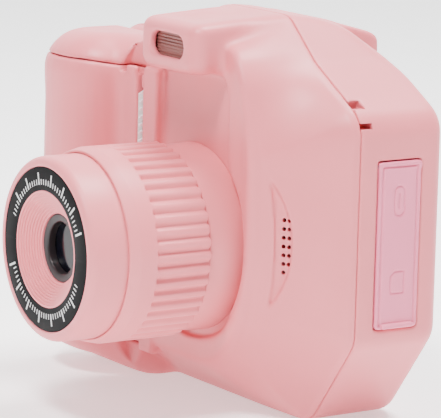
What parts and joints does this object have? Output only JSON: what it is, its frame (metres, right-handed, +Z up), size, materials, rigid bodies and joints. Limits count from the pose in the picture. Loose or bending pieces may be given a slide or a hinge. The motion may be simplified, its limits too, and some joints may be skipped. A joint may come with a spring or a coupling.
{
  "type": "toy camera with thermal printer",
  "caption": "Children's digital camera with a ribbed lens barrel, flash hump, side grip holding a thermal paper roll behind a hinged door, and a rear screen with keys.",
  "frame": {"origin": "centre of the bounding box's foot, on the plane the camera stands on", "axes": "+X to the right seen from the front, +Y from the lens to the screen, +Z up"},
  "size_m": [0.1092, 0.086, 0.0974],
  "materials": {
    "pink_shell": "satin moulded ABS, pastel pink",
    "pink_lens": "satin moulded ABS, pastel pink",
    "key_pink": "satin, deeper pink",
    "inner_pink": "as moulded",
    "black_ring": "black satin printed plate",
    "dark_bezel": "dark satin",
    "lens_glass": "dark tinted window",
    "screen_glass": "gloss black window",
    "clear_plastic": "clear moulded",
    "black_plastic": "matt black",
    "reflector": "metallised",
    "led": "phosphor yellow",
    "circuit_board": "green solder mask",
    "ribbon": "polyimide",
    "steel": "bright steel",
    "head": "ceramic head on an aluminium heat sink",
    "battery_foil": "laminated foil pouch",
    "paper": "thermal paper",
    "rubber": "matt silicone rubber",
    "gear_white": "acetal"
  },
  "bodies": {
    "housing": {"front_shell": "pink_shell", "rear_shell": "pink_shell", "rear_bezel": "pink_shell", "lens_base": "pink_lens", "lens_tube": "pink_lens", "lens_face_ring": "black_ring", "lens_cone": "pink_lens", "lens_bezel": "dark_bezel", "lens_window": "lens_glass", "lens_element": "lens_glass", "camera_module": "black_plastic", "camera_board": "circuit_board", "camera_ribbon": "ribbon", "flash_window": "clear_plastic", "flash_reflector": "reflector", "flash_led": "led", "flash_board": "circuit_board", "speaker": "black_plastic", "microphone": "steel", "main_board": "circuit_board", "main_chips": "black_plastic", "tact_switches": "steel", "display_module": "steel", "display_window": "screen_glass", "display_ribbon": "ribbon", "eyepiece_window": "lens_glass", "rear_camera_module": "black_plastic", "battery": "battery_foil", "usb_socket": "steel", "card_socket": "steel", "port_cover_pin": "steel", "paper_tray": "inner_pink", "paper_strip": "paper", "door_hinge_pin": "steel", "tear_bar": "clear_plastic", "print_head": "head", "print_head_springs": "steel", "idler_pin": "steel", "print_motor": "steel", "case_screws": "steel", "board_screws": "steel"},
    "zoom": {"zoom_ring": "pink_lens"},
    "door": {"paper_door": "pink_shell"},
    "platen": {"platen_shaft": "steel", "platen_rubber": "rubber", "platen_gear": "gear_white"},
    "idler": {"idler_gear": "gear_white"},
    "pinion": {"motor_pinion": "gear_white"},
    "roll": {"paper_roll": "paper"},
    "cover": {"port_cover": "key_pink"},
    "shutter": {"shutter_button": "key_pink"},
    "power_key": {"power_button": "key_pink"},
    "print_key": {"print_button": "key_pink"},
    "up_key": {"up_button": "key_pink"},
    "down_key": {"down_button": "key_pink"},
    "left_key": {"left_button": "key_pink"},
    "right_key": {"right_button": "key_pink"},
    "ok_key": {"ok_button": "key_pink"},
    "menu_key": {"menu_button": "key_pink"},
    "gallery_key": {"gallery_button": "key_pink"}
  },
  "joints": [
    {"name": "zoom_ring_turn", "type": "hinge", "parent": "housing", "child": "zoom", "pos_m": [0.008, -0.022, 0.042], "axis": [0, 1, 0], "range_deg": [-45, 45]},
    {"name": "paper_door_swing", "type": "hinge", "parent": "housing", "child": "door", "pos_m": [-0.053, 0.012, 0.045], "axis": [0, 0, -1], "range_deg": [0, 100]},
    {"name": "paper_roll_turn", "type": "hinge", "parent": "housing", "child": "roll", "pos_m": [-0.039, 0.003, 0.045], "axis": [0, 0, 1], "continuous": true},
    {"name": "platen_turn", "type": "hinge", "parent": "door", "child": "platen", "pos_m": [-0.0205, 0.0055, 0.045], "axis": [0, 0, 1], "continuous": true},
    {"name": "idler_turn", "type": "hinge", "parent": "housing", "child": "idler", "pos_m": [-0.0205, 0.01642, 0.0767], "axis": [0, 0, 1], "continuous": true},
    {"name": "pinion_turn", "type": "hinge", "parent": "housing", "child": "pinion", "pos_m": [-0.01087, 0.01507, 0.0767], "axis": [0, 0, 1], "continuous": true},
    {"name": "port_cover_swing", "type": "hinge", "parent": "housing", "child": "cover", "pos_m": [0.05305, 0.0263, 0.0643], "axis": [0, -1, 0], "range_deg": [0, 100]},
    {"name": "shutter_press", "type": "slide", "parent": "housing", "child": "shutter", "axis": [0, 0, -1], "range_m": [0, 0.001], "stiffness_N_per_m": 900, "springref_m": -0.0008},
    {"name": "power_press", "type": "slide", "parent": "housing", "child": "power_key", "axis": [0, -1, 0], "range_m": [0, 0.0005], "stiffness_N_per_m": 900, "springref_m": -0.0006},
    {"name": "print_press", "type": "slide", "parent": "housing", "child": "print_key", "axis": [0, -1, 0], "range_m": [0, 0.0005], "stiffness_N_per_m": 900, "springref_m": -0.0006},
    {"name": "up_press", "type": "slide", "parent": "housing", "child": "up_key", "axis": [0, -1, 0], "range_m": [0, 0.0005], "stiffness_N_per_m": 900, "springref_m": -0.0006},
    {"name": "down_press", "type": "slide", "parent": "housing", "child": "down_key", "axis": [0, -1, 0], "range_m": [0, 0.0005], "stiffness_N_per_m": 900, "springref_m": -0.0006},
    {"name": "left_press", "type": "slide", "parent": "housing", "child": "left_key", "axis": [0, -1, 0], "range_m": [0, 0.0005], "stiffness_N_per_m": 900, "springref_m": -0.0006},
    {"name": "right_press", "type": "slide", "parent": "housing", "child": "right_key", "axis": [0, -1, 0], "range_m": [0, 0.0005], "stiffness_N_per_m": 900, "springref_m": -0.0006},
    {"name": "ok_press", "type": "slide", "parent": "housing", "child": "ok_key", "axis": [0, -1, 0], "range_m": [0, 0.0005], "stiffness_N_per_m": 900, "springref_m": -0.0006},
    {"name": "menu_press", "type": "slide", "parent": "housing", "child": "menu_key", "axis": [0, -1, 0], "range_m": [0, 0.0005], "stiffness_N_per_m": 900, "springref_m": -0.0006},
    {"name": "gallery_press", "type": "slide", "parent": "housing", "child": "gallery_key", "axis": [0, -1, 0], "range_m": [0, 0.0005], "stiffness_N_per_m": 900, "springref_m": -0.0006}
  ],
  "couplings": [
    {"joint": "platen_turn", "follows": "paper_roll_turn", "ratio": 3.3784},
    {"joint": "idler_turn", "follows": "paper_roll_turn", "ratio": -2.1499},
    {"joint": "pinion_turn", "follows": "paper_roll_turn", "ratio": 4.7297}
  ]
}
